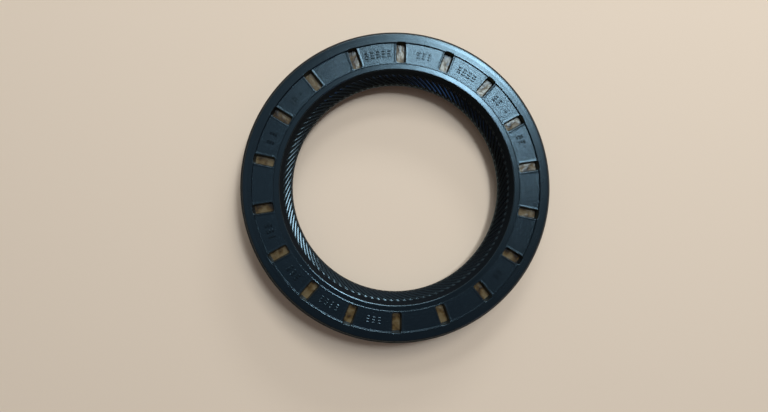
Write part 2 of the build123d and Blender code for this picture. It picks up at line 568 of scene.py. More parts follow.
class Window:
    """The drafted window, as the distance from its floor's outline and the wall that rises from it."""

    def __init__(self, scene, at):
        values = sizes(scene.seal_windows)
        start = at.pad_inner + values.inner_gap
        end = at.step - values.outer_gap
        self.middle = (start + end) / 2
        self.half = Vector(((end - start) / 2, values.floor_width / 2))
        self.corner = values.floor_corner
        self.rounding = values.edge_rounding
        self.lean = math.tan(values.draft)
        self.draft = values.draft
        self.floor = at.flange_top
        self.pad = at.pad
        self.face = at.face
        self.step = at.step
        self.ridge_height = values.ridge_height
        self.ridge_width = values.ridge_width
        self.ridge_start = at.pad_inner + 2 * self.rounding

    def distance(self, x, y):
        """Distance of a point outside the floor's outline, less than nothing inside it."""
        across_x = abs(x - self.middle) - self.half.x + self.corner
        across_y = abs(y) - self.half.y + self.corner
        outside = math.hypot(max(across_x, 0), max(across_y, 0))
        return outside + min(max(across_x, across_y), 0) - self.corner

    def edge_run(self):
        """How far the rounding of the upper edge reaches over the level ground."""
        return self.rounding * math.tan((math.pi / 2 - self.draft) / 2)

    def height(self, distance, ground):
        """Height at a distance from the floor, where the ground round the window is level."""
        edge = (ground - self.floor) * self.lean
        far = edge + self.edge_run()
        rounding_start = far - self.rounding * math.cos(self.draft)
        if distance <= rounding_start:
            return self.floor + max(distance, 0) / self.lean
        if distance < far:
            return ground - self.rounding + math.sqrt(self.rounding ** 2 - (far - distance) ** 2)
        return ground

    def crest(self):
        """Distance from the floor at which the pads are highest, beside the window."""
        return (self.pad + self.ridge_height - self.floor) * self.lean + self.edge_run()

    def ridge(self, distance, radius, ground):
        """How far the pads rise beside the window. The rise ends at the step and at the collar."""
        past = clamped((distance - self.crest()) / self.ridge_width)
        from_collar = clamped((radius - self.ridge_start) / self.ridge_width)
        under_rim = (self.face - ground) / (self.face - self.pad)
        return self.ridge_height * (1 + math.cos(math.pi * past)) / 2 * from_collar * under_rim

    def levels(self, ground):
        """Distances from the floor at which the mesh needs a line, for one level of the ground."""
        far = (ground - self.floor) * self.lean + self.edge_run()
        sweep = math.pi / 2 - self.draft
        return [far - self.rounding * math.sin(sweep * step / 3) for step in (3, 2, 1, 0)]

    def outline(self, distance, quarters):
        """Points at a distance outside the floor, along some quarters of its outline."""
        points = []
        for quarter in quarters:
            side_x = 1 if quarter in (0, 3) else -1
            side_y = 1 if quarter in (0, 1) else -1
            centre = (
                self.middle + side_x * (self.half.x - self.corner),
                side_y * (self.half.y - self.corner),
            )
            points += arc(centre, self.corner + distance, quarter * math.pi / 2, math.pi / 2)
        return points

    def lines(self):
        """Lines that the mesh needs round the window: whole loops up to the pads' level, lines along the
        ridges at its sides, and up to the rim's level only the end that cuts the step."""
        pad_levels = self.levels(self.pad + self.ridge_height)
        found = []
        for distance in (0, pad_levels[0] / 2, *pad_levels):
            loop = self.outline(distance, (0, 1, 2, 3))
            found.append(loop + loop[:1])
        full_ridge = self.ridge_start + self.ridge_width
        before_step = self.step - 2 * self.rounding
        for part in (0.25, 0.5, 0.75, 1):
            side = self.half.y + self.crest() + part * self.ridge_width
            for sign in (-1, 1):
                stops = (self.ridge_start, full_ridge, self.middle, before_step)
                found.append([Vector((stop, sign * side)) for stop in stops])
        for distance in self.levels(self.face):
            end = self.outline(distance, (3, 0))
            start = Vector((self.step - 4 * self.rounding, end[0].y))
            found.append([start, *end, Vector((start.x, -start.y))])
        return found


def add_face(sector, scene, at, inner, outer):
    """The face from the pads' inner edge to the rim, with its step and its window, and the rubber's
    underside against the case's flange."""
    section = sizes(scene.seal_section)
    window = Window(scene, at)
    columns = sector.columns()
    step_profile = rounded_path([
        (inner, at.pad, 0),
        (at.step - section.step_draft / 2, at.pad, section.small_corner),
        (at.step + section.step_draft / 2, at.face, section.small_corner),
        (outer, at.face, 0),
    ])
    # A ring beside each rounding keeps its shading off the level faces.
    support = section.small_corner / 2
    radii = [point.x for point in step_profile]
    radii = radii[:1] + [radii[1] - support] + radii[1:-1] + [radii[-2] + support] + radii[-1:]

    flat_points = []
    edges = []
    rings = [add_line(flat_points, edges, circle(radius, columns)) for radius in radii]
    for end in (0, -1):
        edges += joined([ring[end] for ring in rings])
    for line in window.lines():
        add_line(flat_points, edges, line)

    flat, triangles = ring_triangles(flat_points, edges, window, inner, sector.turn / 2)
    points = []
    for point in flat:
        ground = height_on(step_profile, point.length)
        distance = window.distance(point.x, point.y)
        ground += window.ridge(distance, point.length, ground)
        points.append((point.x, point.y, window.height(distance, ground)))

    def finish_at(radius):
        if radius < at.step:
            return GRAINED
        return POLISHED if radius < radii[-2] else FINE_GRAINED

    sector.patch(points, triangles, finish_at)

    # The underside takes the window's edge from the face, so that the two meet point for point.
    sides = {}
    for triangle in triangles:
        for side in zip(triangle, triangle[1:] + triangle[:1]):
            key = tuple(sorted(side))
            sides[key] = sides.get(key, 0) + 1
    floor_level = at.flange_top + TINY
    outer_sides = [side for side, count in sides.items() if count == 1]
    rim = [side for side in outer_sides if all(points[corner][2] < floor_level for corner in side)]
    numbers = sorted({corner for side in rim for corner in side})
    place = {corner: index for index, corner in enumerate(numbers)}
    under_points = [flat[corner] for corner in numbers]
    under_edges = [(place[a], place[b]) for a, b in rim]
    inner_end = add_line(under_points, under_edges, circle(at.flange_bore, columns))
    outer_end = add_line(under_points, under_edges, circle(at.case_outer - section.case_bend, columns))
    under_edges += [(inner_end[end], outer_end[end]) for end in (0, -1)]
    flat, triangles = ring_triangles(
        under_points, under_edges, window, at.flange_bore, sector.turn / 2,
    )
    sector.patch([(point.x, point.y, at.flange_top) for point in flat], triangles, upwards=False)


def add_ribs(sector, scene, at, top, bottom):
    """The lip's air-side cone with its ribs, between two heights, joined to the rings at both ends."""
    ribs = sizes(scene.seal_ribs)
    lip = sizes(scene.seal_lip)
    windows = sizes(scene.seal_windows)
    per_sector = ribs.count // windows.count
    pitch_angle = sector.turn / per_sector
    tip = at.collar - ribs.start_gap
    end = at.land_top + ribs.end_gap
    spiral = math.tan(ribs.helix_angle) * math.sin(lip.air_angle)
    middle_radius = cone_radius(at, (tip + end) / 2)
    pitch = pitch_angle * middle_radius * math.sin(ribs.helix_angle)
    foot = ribs.foot_width / 2
    crown = ribs.crown_width / 2
    shoulder = ribs.shoulder_width / 2
    profile = rounded_path([
        (-pitch / 2, 0, 0),
        (-foot, 0, ribs.corner),
        (-shoulder, ribs.shoulder_height, ribs.corner),
        (-crown, ribs.height, ribs.corner),
        (crown, ribs.height, ribs.corner),
        (shoulder, ribs.shoulder_height, ribs.corner),
        (foot, 0, ribs.corner),
        (pitch / 2, 0, 0),
    ])
    profile = [Vector((-pitch / 2, 0))] + profile[1:-1]
    columns = []
    for rib in range(per_sector):
        columns += [(rib, point) for point in profile]
    columns.append((per_sector, profile[0]))
    angles = [pitch_angle * (rib + 0.5 + point.x / pitch) - sector.turn / 2 for rib, point in columns]

    rise_end = tip - ribs.tip_length * math.cos(lip.air_angle)
    run_start = end + ribs.run_out
    heights = [tip + RIB_MARGIN]
    heights += spaced(tip, rise_end, TIP_STEPS)
    heights += spaced(rise_end, run_start, EVEN_STEPS)
    heights += spaced(run_start, end, RUN_OUT_STEPS)
    heights += [end, end - RIB_MARGIN]

    rings = []
    for height in heights:
        radius = cone_radius(at, height)
        twist = math.log(cone_radius(at, heights[0]) / radius) / spiral
        rise = clamped((tip - height) / (tip - rise_end))
        sink = clamped((height - end) / ribs.run_out)
        start = len(sector.points)
        for (rib, point), turn in zip(columns, angles):
            off = point.y * min(rise, sink)
            reach = radius - off * math.cos(lip.air_angle)
            level = height + off * math.sin(lip.air_angle)
            sector.points.append((*polar(reach, turn - twist), level))
        rings.append(range(start, len(sector.points)))
    pairs = [(near, far) for (_, near), (_, far) in zip(columns, columns[1:])]
    rising = [far.y > near.y + TINY for near, far in pairs]
    upper = [min(near.y, far.y) > ribs.shoulder_height / 2 for near, far in pairs]
    # The flanks that face the air side are polished, and at the tips the crowns are too.
    flank_finishes = [POLISHED if rises else MATT for rises in rising]
    tip_finishes = [POLISHED if rises or high else MATT for rises, high in zip(rising, upper)]
    for index, (before, after) in enumerate(zip(rings, rings[1:])):
        sector.strip(before, after, tip_finishes if 0 < index <= TIP_STEPS else flank_finishes)

    ring = sector.ring(cone_radius(at, top), top, sector.columns())
    sector.bridge(ring, sector.columns(), rings[0], angles)
    low_angles = [turn - twist for turn in angles]
    low_columns = sector.columns(-round(twist / sector.turn * RING_COLUMNS))
    ring = sector.ring(cone_radius(at, bottom), bottom, low_columns)
    sector.bridge(rings[-1], low_angles, ring, low_columns)


def moulding_sector(scene):
    """One window's share of the whole moulding."""
    section = sizes(scene.seal_section)
    lip = sizes(scene.seal_lip)
    ribs = sizes(scene.seal_ribs)
    at = seal_places(scene)
    sector = Sector(2 * math.pi / scene.seal_windows.count)
    small = section.small_corner
    end_corner = small * 2
    collar_corner = small * 0.8    # the step to the collar is lower than two whole small corners
    face_inner = at.pad_inner + FACE_START
    face_outer = at.step + FACE_END
    ribs_top = at.collar - ribs.start_gap + RIBS_START
    ribs_bottom = at.land_top + RIBS_END

    # Round the case's bend and leg, over the cover and in to the rim.
    cover = rounded_path([
        (at.case_outer - section.case_bend, at.flange_top, 0),
        (at.case_outer, at.flange_top, section.case_bend),
        (at.case_outer, section.end_wrap, 0),
        (at.case_inner, section.end_wrap, 0),
        (at.case_inner, 0, end_corner),
        (at.cover - section.oil_chamfer_depth, 0, end_corner),
        (at.cover, section.oil_chamfer_height, section.rim_corner),
        (at.cover, at.face - section.air_chamfer_height, section.rim_corner),
        (at.cover - section.air_chamfer_depth, at.face, section.rim_corner),
        (at.band_end, at.face, 0),
        (face_outer, at.face, 0),
    ])
    chamfer_start = first_above(cover, at.face - section.air_chamfer_height)
    chamfer_end = first_above(cover, at.face - CHAMFER_END)
    sector.sweep(cover[:chamfer_start + 1], SATIN)
    sector.sweep(cover[chamfer_start:chamfer_end + 1], MATT)
    sector.sweep(cover[chamfer_end:-1], SATIN)
    sector.sweep(cover[-2:], FINE_GRAINED)
    add_face(sector, scene, at, face_inner, face_outer)

    # Down from the pads, over the collar and into the bore.
    collar = rounded_path([
        (face_inner, at.pad, 0),
        (at.pad_inner, at.pad, small),
        (at.pad_inner, at.collar, collar_corner),
        (at.bore_edge, at.collar, section.bore_corner),
        (cone_radius(at, ribs_top), ribs_top, 0),
    ])
    roundings_end = at.pad_inner - small * 2
    edge_start = next(number for number, point in enumerate(collar) if point.x < roundings_end)
    sector.sweep(collar[:edge_start], POLISHED)
    sector.sweep(collar[edge_start - 1:edge_start + 1], SATIN)
    sector.sweep(collar[edge_start:-1], POLISHED)
    sector.sweep(collar[-2:], MATT)
    add_ribs(sector, scene, at, ribs_top, ribs_bottom)

    # Round the sealing edge and the lip's head, through the groove, and up the membrane to the lap.
    groove_half = math.asin((at.head - at.spring_ring) / at.groove)
    shoulder = at.land_top + (at.head - at.membrane_back - at.lip) / at.slope
    nose = rounded_path([
        (cone_radius(at, ribs_bottom), ribs_bottom, 0),
        (at.lip, at.land_top, lip.edge_wear),
        (at.lip, at.land_bottom, lip.edge_wear),
        (at.head_inner, at.head_bottom, lip.edge_wear),
        (at.head, at.head_bottom, lip.head_corner),
        (at.head, at.spring_height - at.groove * math.cos(groove_half), 0),
    ])
    groove = arc(
        (at.spring_ring, at.spring_height), at.groove,
        groove_half - math.pi / 2, -math.pi - 2 * groove_half,
    )
    membrane_top = cone_radius(at, at.lap_bottom) + at.membrane_back
    membrane = rounded_path([
        (at.head, at.spring_height + at.groove * math.cos(groove_half), 0),
        (at.head, shoulder, lip.head_corner),
        (membrane_top, at.lap_bottom, lip.root_corner),
        (at.lap_end, at.lap_bottom, section.lap_corner),
        (at.lap_end, at.flange_bottom, 0),
        (at.flange_bore, at.flange_bottom, 0),
        (at.flange_bore, at.flange_top, 0),
    ])
    sector.sweep(nose[:-1] + groove + membrane[1:], SATIN)
    return sector


def raised_mark(name, long, wide, marks):
    """A low bar along X with sloping sides, that stands on the pads. As long as wide, it is a dot."""
    wall = marks.height / 4
    levels = rounded_path([
        (0, -marks.sunk, 0),
        (0, wall, 0),
        (-marks.slope_width, marks.height, wall),
        (-wide / 2, marks.height, 0),
    ])
    shift = (long - wide) / 2
    ends = arc((shift, 0), 1, -math.pi / 2, math.pi)
    if not shift:
        ends = ends[1:]
    points = []
    for level in levels[:-1]:
        radius = wide / 2 + level.x
        half = [(shift + radius * (end.x - shift), radius * end.y) for end in ends]
        points += [(x, y, level.y) for x, y in half + [(-x, -y) for x, y in half]]
    around = 2 * len(ends)
    faces = [tuple(reversed(range(around))), tuple(range(len(points) - around, len(points)))]
    for level in range(len(levels) - 2):
        for corner in range(around):
            follow = (corner + 1) % around
            low, high = level * around, (level + 1) * around
            faces.append((low + corner, low + follow, high + follow, high + corner))
    mesh = bpy.data.meshes.new(name)
    mesh.from_pydata([[c * MM for c in point] for point in points], [], faces)
    return bpy.data.objects.new(name, mesh)


def mark_places(scene):
    """Where each stroke stands on its pad in metres, its turn, and the number of its shape."""
    marks = sizes(scene.seal_marks)
    windows = sizes(scene.seal_windows)
    at = seal_places(scene)
    places = []
    for pad, row in enumerate(PAD_MARKS):
        middle = windows.first_angle + (pad + 0.5) * 2 * math.pi / windows.count
        for index, sign in enumerate(row):
            turn = middle - (index - (len(row) - 1) / 2) * marks.spacing / marks.middle
            for shape, steps, own_turn in STROKES.get(sign, ()):
                radius = marks.middle + steps * marks.stroke_gap
                place = Vector((*polar(radius, turn), at.pad)) * MM
                places.append((place, turn + math.radians(own_turn), SHAPES.index(shape)))
    return places


# ---------------------------------------------------------------- nodes


def add_node(tree, kind, inputs=None, **settings):
    """Add a node with its settings, and set or link its inputs by name or number. A colour is given as red,
    green and blue, and a node given as a value stands for its first output."""
    node = tree.nodes.new(kind)
    for name, value in settings.items():
        setattr(node, name, value)
    for name, value in (inputs or {}).items():
        socket = node.inputs[name]
        if isinstance(value, bpy.types.Node):
            value = value.outputs[0]
        if isinstance(value, bpy.types.NodeSocket):
            tree.links.new(value, socket)
        elif socket.type == "RGBA":
            socket.default_value = (*value, 1.0)
        else:
            socket.default_value = value
    return node


def new_geometry_tree(name, inputs):
    """A Geometry Nodes tree with named inputs: {name: socket type}."""
    tree = bpy.data.node_groups.new(name, "GeometryNodeTree")
    for label, kind in {"Geometry": "NodeSocketGeometry", **inputs}.items():
        tree.interface.new_socket(label, in_out="INPUT", socket_type=kind)
    tree.interface.new_socket("Geometry", in_out="OUTPUT", socket_type="NodeSocketGeometry")
    return tree, add_node(tree, "NodeGroupInput").outputs


def mesh_from_tree(name, start_mesh, tree, values, weighted=False):
    """Run a tree on a mesh and give a plain object that holds the result."""
    piece = bpy.data.objects.new(name, start_mesh)
    bpy.context.scene.collection.objects.link(piece)
    modifier = piece.modifiers.new("Nodes", "NODES")
    modifier.node_group = tree
    for item in tree.interface.items_tree:
        if item.name in values:
            modifier[item.identifier] = values[item.name]
    if weighted:
        piece.modifiers.new("Flat faces stay flat", "WEIGHTED_NORMAL").keep_sharp = True
    evaluated = piece.evaluated_get(bpy.context.evaluated_depsgraph_get())
    result = bpy.data.meshes.new_from_object(evaluated)
    result.name = name
    piece.modifiers.clear()
    piece.data = result
    if not result.polygons:
        raise RuntimeError(f"{name} came out empty")
    return piece


def turned_copies_tree():
    """Copies of a sector, turned evenly round the axis and merged into one closed skin."""
    tree, given = new_geometry_tree("Turned copies", {
        "Copies": "NodeSocketInt",
        "First Angle": "NodeSocketFloat",
        "Merge Distance": "NodeSocketFloat",
        "Sharp Angle": "NodeSocketFloat",
        **dict.fromkeys(FINISHES, "NodeSocketMaterial"),
    })
    index = add_node(tree, "GeometryNodeInputIndex")
    step = add_node(tree, "ShaderNodeMath", {0: 2 * math.pi, 1: given["Copies"]}, operation="DIVIDE")
    turn = add_node(
        tree, "ShaderNodeMath", {0: index, 1: step, 2: given["First Angle"]}, operation="MULTIPLY_ADD",
    )
    places = add_node(tree, "GeometryNodePoints", {"Count": given["Copies"]})
    copies = add_node(tree, "GeometryNodeInstanceOnPoints", {
        "Points": places,
        "Instance": given["Geometry"],
        "Rotation": add_node(tree, "ShaderNodeCombineXYZ", {"Z": turn}),
    })
    real = add_node(tree, "GeometryNodeRealizeInstances", {"Geometry": copies})
    merged = add_node(tree, "GeometryNodeMergeByDistance", {
        "Geometry": real,
        "Distance": given["Merge Distance"],
    })
    smooth = add_node(tree, "GeometryNodeSetShadeSmooth", {"Geometry": merged, "Shade Smooth": True})
    bend = add_node(tree, "GeometryNodeInputMeshEdgeAngle")
    gentle = add_node(
        tree, "FunctionNodeCompare", {"A": bend, "B": given["Sharp Angle"]},
        data_type="FLOAT", operation="LESS_THAN",
    )
    skin = add_node(
        tree, "GeometryNodeSetShadeSmooth", {"Geometry": smooth, "Shade Smooth": gentle}, domain="EDGE",
    )
    finish = add_node(tree, "GeometryNodeInputNamedAttribute", {"Name": "finish"}, data_type="INT")
    for number, name in enumerate(FINISHES):
        # Inputs 2 and 3 of a Compare node are its two whole numbers.
        chosen = add_node(
            tree, "FunctionNodeCompare", {2: finish, 3: number}, data_type="INT", operation="EQUAL",
        )
        skin = add_node(tree, "GeometryNodeSetMaterial", {
            "Geometry": skin,
            "Selection": chosen,
            "Material": given[name],
        })
    add_node(tree, "NodeGroupOutput", {"Geometry": skin})
    return tree


def pad_marks_tree():
    """One of three shapes on each point, turned as the point says."""
    tree, given = new_geometry_tree("Pad marks", {
        **dict.fromkeys(SHAPES, "NodeSocketObject"),
        "Material": "NodeSocketMaterial",
    })
    shapes = add_node(tree, "GeometryNodeGeometryToInstance")
    # Each new link goes in before the others, so the last shape is linked first.
    for name in reversed(SHAPES):
        shape = add_node(tree, "GeometryNodeObjectInfo", {"Object": given[name]})
        tree.links.new(shape.outputs["Geometry"], shapes.inputs[0])
    kind = add_node(tree, "GeometryNodeInputNamedAttribute", {"Name": "kind"}, data_type="INT")
    turn = add_node(tree, "GeometryNodeInputNamedAttribute", {"Name": "turn"}, data_type="FLOAT")
    placed = add_node(tree, "GeometryNodeInstanceOnPoints", {
        "Points": given["Geometry"],
        "Instance": shapes,
        "Pick Instance": True,
        "Instance Index": kind,
        "Rotation": add_node(tree, "ShaderNodeCombineXYZ", {"Z": turn}),
    })
    real = add_node(tree, "GeometryNodeRealizeInstances", {"Geometry": placed})
    smooth = add_node(tree, "GeometryNodeSetShadeSmooth", {"Geometry": real, "Shade Smooth": True})
    done = add_node(tree, "GeometryNodeSetMaterial", {"Geometry": smooth, "Material": given["Material"]})
    add_node(tree, "NodeGroupOutput", {"Geometry": done})
    return tree


def wound_spring_tree():
    """A wire wound into close coils, whose axis is a circle round the seal."""
    tree, given = new_geometry_tree("Wound spring", {
        "Ring Radius": "NodeSocketFloat",
        "Height": "NodeSocketFloat",
        "Coil Radius": "NodeSocketFloat",
        "Wire Radius": "NodeSocketFloat",
        "Turns": "NodeSocketInt",
        "Steps": "NodeSocketInt",
        "Sides": "NodeSocketInt",
        "Material": "NodeSocketMaterial",
    })
    count = add_node(tree, "ShaderNodeMath", {0: given["Turns"], 1: given["Steps"]}, operation="MULTIPLY")
    index = add_node(tree, "GeometryNodeInputIndex")
    progress = add_node(tree, "ShaderNodeMath", {0: index, 1: count}, operation="DIVIDE")
    around = add_node(tree, "ShaderNodeMath", {0: progress, 1: 2 * math.pi}, operation="MULTIPLY")
    coil = add_node(tree, "ShaderNodeMath", {0: around, 1: given["Turns"]}, operation="MULTIPLY")
    # Each cosine and sine goes through a second node: out to the ring's radius, or up to its height.
    reach = add_node(tree, "ShaderNodeMath", {
        0: add_node(tree, "ShaderNodeMath", {0: coil}, operation="COSINE"),
        1: given["Coil Radius"],
        2: given["Ring Radius"],
    }, operation="MULTIPLY_ADD")
    level = add_node(tree, "ShaderNodeMath", {
        0: add_node(tree, "ShaderNodeMath", {0: coil}, operation="SINE"),
        1: given["Coil Radius"],
        2: given["Height"],
    }, operation="MULTIPLY_ADD")
    east = add_node(tree, "ShaderNodeMath", {0: around}, operation="COSINE")
    north = add_node(tree, "ShaderNodeMath", {0: around}, operation="SINE")
    place = add_node(tree, "ShaderNodeCombineXYZ", {
        "X": add_node(tree, "ShaderNodeMath", {0: east, 1: reach}, operation="MULTIPLY"),
        "Y": add_node(tree, "ShaderNodeMath", {0: north, 1: reach}, operation="MULTIPLY"),
        "Z": level,
    })
    line = add_node(tree, "GeometryNodeMeshLine", {"Count": count})
    wound = add_node(tree, "GeometryNodeSetPosition", {"Geometry": line, "Position": place})
    curve = add_node(tree, "GeometryNodeMeshToCurve", {"Mesh": wound})
    closed = add_node(tree, "GeometryNodeSetSplineCyclic", {"Geometry": curve, "Cyclic": True})
    section = add_node(tree, "GeometryNodeCurvePrimitiveCircle", {
        "Resolution": given["Sides"],
        "Radius": given["Wire Radius"],
    })
    wire = add_node(tree, "GeometryNodeCurveToMesh", {"Curve": closed, "Profile Curve": section})
    smooth = add_node(tree, "GeometryNodeSetShadeSmooth", {"Geometry": wire, "Shade Smooth": True})
    real = add_node(tree, "GeometryNodeRealizeInstances", {"Geometry": smooth})
    done = add_node(tree, "GeometryNodeSetMaterial", {"Geometry": real, "Material": given["Material"]})
    add_node(tree, "NodeGroupOutput", {"Geometry": done})
    return tree


# ---------------------------------------------------------------- materials


# Where a node has several sockets of one name, or long names, they go by number. A Mix node takes its
# factor as 0 and its colours as 6 and 7, and gives a colour as output 2. A Map Range node takes its value
# as 0, the range it reads as 1 and 2, and the range it gives as 3 and 4.


def new_material(name):
    """A material with an empty node tree, and its object coordinates."""
    material = bpy.data.materials.new(name)
    material.use_nodes = True
    tree = material.node_tree
    tree.nodes.clear()
    return material, tree, add_node(tree, "ShaderNodeTexCoord").outputs["Object"]


def rubber_name(finish):
    """Name of the rubber's material in one of its finishes."""
    return f"{FINISHES[finish]} moulded nitrile rubber"


def rubber_skin(scene, finish, bloom, roughness, grain_depth, level=0.75):
    """Moulded nitrile rubber, near-black, with the mould's grain and its turned rings."""
    material, tree, place = new_material(rubber_name(finish))
    uneven = 0.04    # how much rougher the skin is in places

    # Spark-eroded grain of the mould, about 0.3 mm.
    grain = add_node(tree, "ShaderNodeTexNoise", {
        "Vector": place, "Scale": 1 / (0.3 * MM), "Detail": 3.0, "Roughness": 0.6,
    })
    # Slow unevenness of the skin, about 3 mm.
    swell = add_node(tree, "ShaderNodeTexNoise", {"Vector": place, "Scale": 1 / (3 * MM), "Detail": 2.0})
    # Turned rings of the mould, about 0.8 mm from one to the next.
    flat = add_node(tree, "ShaderNodeVectorMath", {0: place, 1: (1, 1, 0)}, operation="MULTIPLY")
    radius = add_node(tree, "ShaderNodeVectorMath", {0: flat}, operation="LENGTH").outputs["Value"]
    across = add_node(tree, "ShaderNodeCombineXYZ", {"X": radius})
    turned = add_node(tree, "ShaderNodeTexNoise", {
        "Vector": across, "Scale": 1 / (0.8 * MM), "Detail": 2.0,
    })

    fine = add_node(tree, "ShaderNodeBump", {
        "Height": grain, "Strength": 1.0, "Distance": grain_depth * MM,
    })
    broad = add_node(tree, "ShaderNodeBump", {
        "Height": swell, "Strength": 0.4, "Distance": 0.05 * MM, "Normal": fine,
    })
    rings = add_node(tree, "ShaderNodeBump", {
        "Height": turned, "Strength": 0.5, "Distance": 0.05 * MM, "Normal": broad,
    })
    plain = scene.seal_colours.rubber
    tone = add_node(tree, "ShaderNodeMix", {0: grain, 6: plain, 7: bloom}, data_type="RGBA")
    shader = add_node(tree, "ShaderNodeBsdfPrincipled", {
        "Base Color": tone.outputs[2],
        "Roughness": add_node(tree, "ShaderNodeMapRange", {0: swell, 3: roughness, 4: roughness + uneven}),
        "Specular IOR Level": level,
        "Specular Tint": scene.seal_colours.rubber_gloss,
        "Normal": rings,
    })
    add_node(tree, "ShaderNodeOutputMaterial", {"Surface": shader})
    return material


def satin_rubber_material(scene):
    """Moulded nitrile rubber with a satin skin: the cover, the rim's outer part and the collar."""
    return rubber_skin(scene, SATIN, scene.seal_colours.rubber, roughness=0.22, grain_depth=0.005)


def grained_rubber_material(scene):
    """The same rubber where the mould was eroded to a fine grain: the pads and the windows' walls."""
    return rubber_skin(scene, GRAINED, scene.seal_colours.rubber_bloom, roughness=0.22, grain_depth=0.045)


def fine_grained_rubber_material(scene):
    """The same rubber with a fainter grain: the rim's band beside the step."""
    plain = scene.seal_colours.rubber
    return rubber_skin(scene, FINE_GRAINED, plain, roughness=0.25, grain_depth=0.01, level=0.63)


def matt_rubber_material(scene):
    """The same rubber where the mould was eroded and left matt: dull, and dark at every angle."""
    material, tree, place = new_material(rubber_name(MATT))
    # Spark-eroded grain of the mould, about 0.12 mm.
    grain = add_node(tree, "ShaderNodeTexNoise", {"Vector": place, "Scale": 1 / (0.12 * MM), "Detail": 3.0})
    shader = add_node(tree, "ShaderNodeBsdfPrincipled", {
        "Base Color": scene.seal_colours.rubber,
        "Roughness": add_node(tree, "ShaderNodeMapRange", {0: grain, 3: 0.5, 4: 0.7}),
        "Specular IOR Level": 0.1,
        "Specular Tint": scene.seal_colours.rubber_gloss,
        "Normal": add_node(tree, "ShaderNodeBump", {
            "Height": grain, "Strength": 0.4, "Distance": 0.03 * MM,
        }),
    })
    add_node(tree, "ShaderNodeOutputMaterial", {"Surface": shader})
    return material


def polished_rubber_material(scene):
    """The same rubber where the mould was polished: the roundings of the steps and of the bore's edge, the
    marks, and the ribs' tips and the flanks that face the air side."""
    material, tree, place = new_material(rubber_name(POLISHED))
    # Slow unevenness of the skin, about 1 mm.
    swell = add_node(tree, "ShaderNodeTexNoise", {"Vector": place, "Scale": 1 / MM, "Detail": 2.0})
    shader = add_node(tree, "ShaderNodeBsdfPrincipled", {
        "Base Color": scene.seal_colours.rubber,
        "Roughness": add_node(tree, "ShaderNodeMapRange", {0: swell, 3: 0.08, 4: 0.16}),
        "Specular IOR Level": 1.0,
        "Specular Tint": scene.seal_colours.rubber_gloss,
    })
    add_node(tree, "ShaderNodeOutputMaterial", {"Surface": shader})
    return material


def case_material(scene):
    """Bonding coat over phosphated steel: a thin golden lacquer, mottled where it dried unevenly."""
    material, tree, place = new_material("Bonding coat over phosphated steel")
    colours = scene.seal_colours
    # Blotches of about 2 mm, with a fine dark grain of phosphate crystals showing through.
    blotch = add_node(tree, "ShaderNodeTexNoise", {"Vector": place, "Scale": 1 / (2 * MM), "Detail": 2.0})
    grain = add_node(tree, "ShaderNodeTexNoise", {"Vector": place, "Scale": 1 / (0.35 * MM), "Detail": 3.0})
    # From thin to middling coat, and from there to thick.
    coat = colours.coat_light
    for start, end, thicker in ((0.42, 0.55, colours.coat_middle), (0.55, 0.66, colours.coat_dark)):
        part = add_node(tree, "ShaderNodeMapRange", {0: blotch, 1: start, 2: end})
        coat = add_node(tree, "ShaderNodeMix", {0: part, 6: coat, 7: thicker}, data_type="RGBA").outputs[2]
    shader = add_node(tree, "ShaderNodeBsdfPrincipled", {
        "Base Color": coat,
        "Metallic": 0.1,
        "Roughness": add_node(tree, "ShaderNodeMapRange", {0: grain, 3: 0.2, 4: 0.4}),
        "Specular IOR Level": 0.55,
        "Specular Tint": colours.coat_gloss,
        "Normal": add_node(tree, "ShaderNodeBump", {
            "Height": blotch, "Strength": 0.8, "Distance": 0.3 * MM,
        }),
    })
    add_node(tree, "ShaderNodeOutputMaterial", {"Surface": shader})
    return material


def wire_material(scene):
    """Drawn spring steel wire: bright, with fine drawing streaks and a film of oil."""
    material, tree, place = new_material("Drawn spring steel wire")
    wire = scene.seal_colours.wire
    in_streaks = [c * 0.6 for c in wire]
    # Streaks of about 0.08 mm.
    streak = add_node(tree, "ShaderNodeTexNoise", {
        "Vector": place, "Scale": 1 / (0.08 * MM), "Detail": 2.0,
    })
    tone = add_node(tree, "ShaderNodeMix", {0: streak, 6: wire, 7: in_streaks}, data_type="RGBA")
    shader = add_node(tree, "ShaderNodeBsdfPrincipled", {
        "Base Color": tone.outputs[2],
        "Metallic": 1.0,
        "Roughness": add_node(tree, "ShaderNodeMapRange", {0: streak, 3: 0.25, 4: 0.45}),
    })
    add_node(tree, "ShaderNodeOutputMaterial", {"Surface": shader})
    return material


def floor_material(scene):
    """Pale matt board."""
    material, tree, _ = new_material("Pale matt board")
    shader = add_node(tree, "ShaderNodeBsdfPrincipled", {
        "Base Color": scene.seal_colours.floor,
        "Roughness": 0.9,
        "Specular IOR Level": 0.1,
    })
    add_node(tree, "ShaderNodeOutputMaterial", {"Surface": shader})
    return material


# ---------------------------------------------------------------- stage


def add_light(scene, name):
    """One soft light that faces the seal, with its sizes from the stage's properties."""
    azimuth, tilt, width, height, light_share, light_colour = (
        getattr(scene.seal_stage, f"{name}_{part}")
        for part in ("azimuth", "tilt", "width", "height", "share", "colour")
    )
    distance = scene.seal_stage.light_distance
    direction = Vector((*polar(math.sin(tilt), azimuth), math.cos(tilt)))
    light = bpy.data.lights.new(name, "AREA")
    light.shape = "ELLIPSE"
    light.size = width
    light.size_y = height
    light.color = light_colour
    light.energy = light_share * (math.pi * distance) ** 2 / math.cos(tilt)
    lamp = bpy.data.objects.new(name, light)
    lamp.location = direction * distance
    lamp.rotation_euler = direction.to_track_quat("Z", "Y").to_euler()
    lamp.visible_camera = False
    scene.collection.objects.link(lamp)


